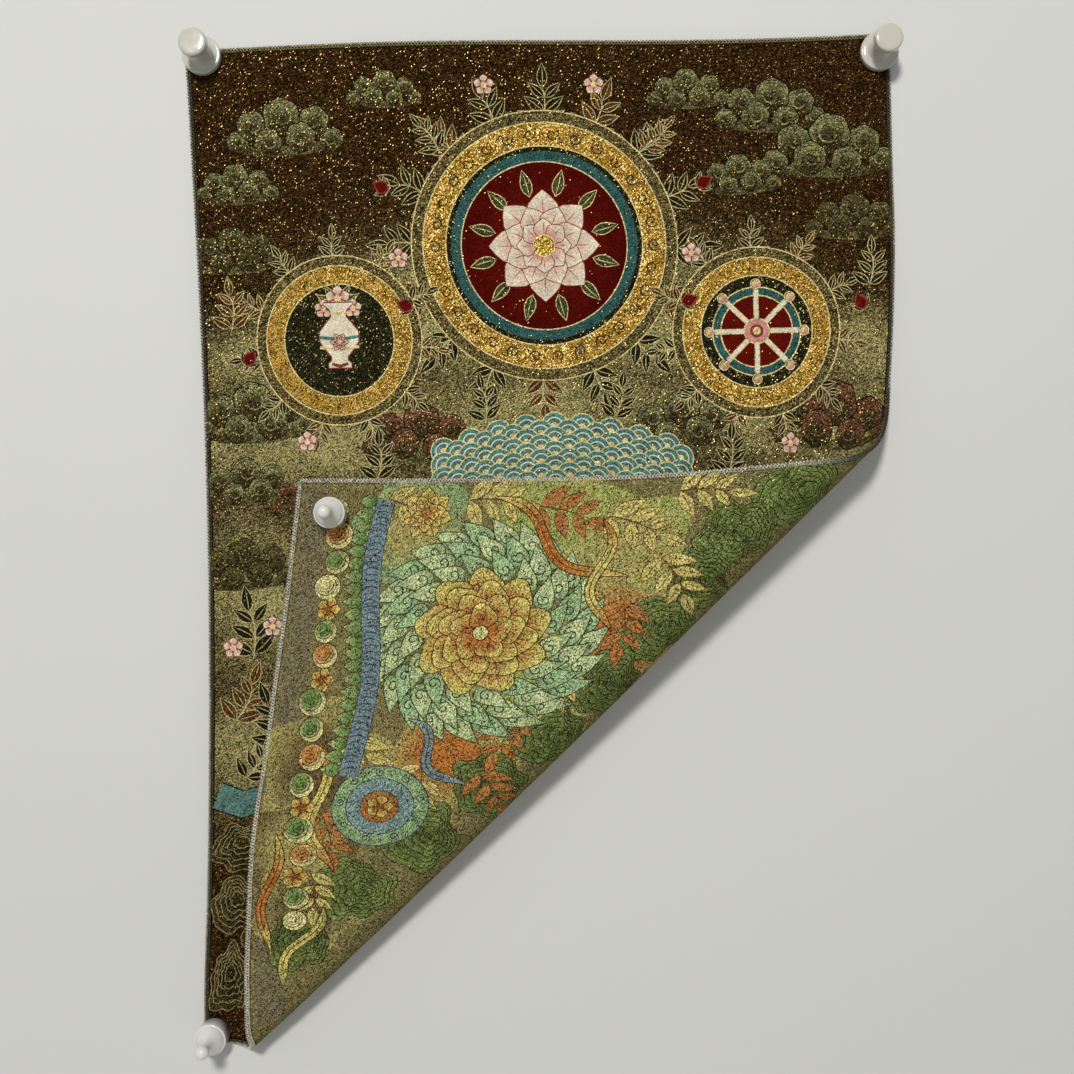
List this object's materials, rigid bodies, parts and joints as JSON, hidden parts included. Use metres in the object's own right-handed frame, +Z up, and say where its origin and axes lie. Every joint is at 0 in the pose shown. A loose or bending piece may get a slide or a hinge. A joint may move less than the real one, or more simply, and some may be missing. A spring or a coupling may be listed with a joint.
{
  "type": "woven brocade wall panel with push pins",
  "caption": "Rectangular metallic brocade wall panel with overlocked edges, pinned flat at its corners, one lower corner folded up over a soft roll and pinned back to show the reverse.",
  "frame": {"origin": "middle of the panel's top edge, on the wall plane", "axes": "+Z up along the hanging panel, +Y from its face back to the wall, +X to the right as seen from in front"},
  "size_m": [0.4272, 0.0536, 0.6082],
  "materials": {
    "brocade": "woven, with metallic yarn",
    "ivory_plastic": "gloss",
    "white_plastic": "gloss"
  },
  "bodies": {
    "root": {"panel_cloth": "brocade", "pin_top_left": "ivory_plastic", "pin_top_right": "ivory_plastic", "pin_low_left": "white_plastic", "pin_flap": "white_plastic"}
  },
  "joints": []
}
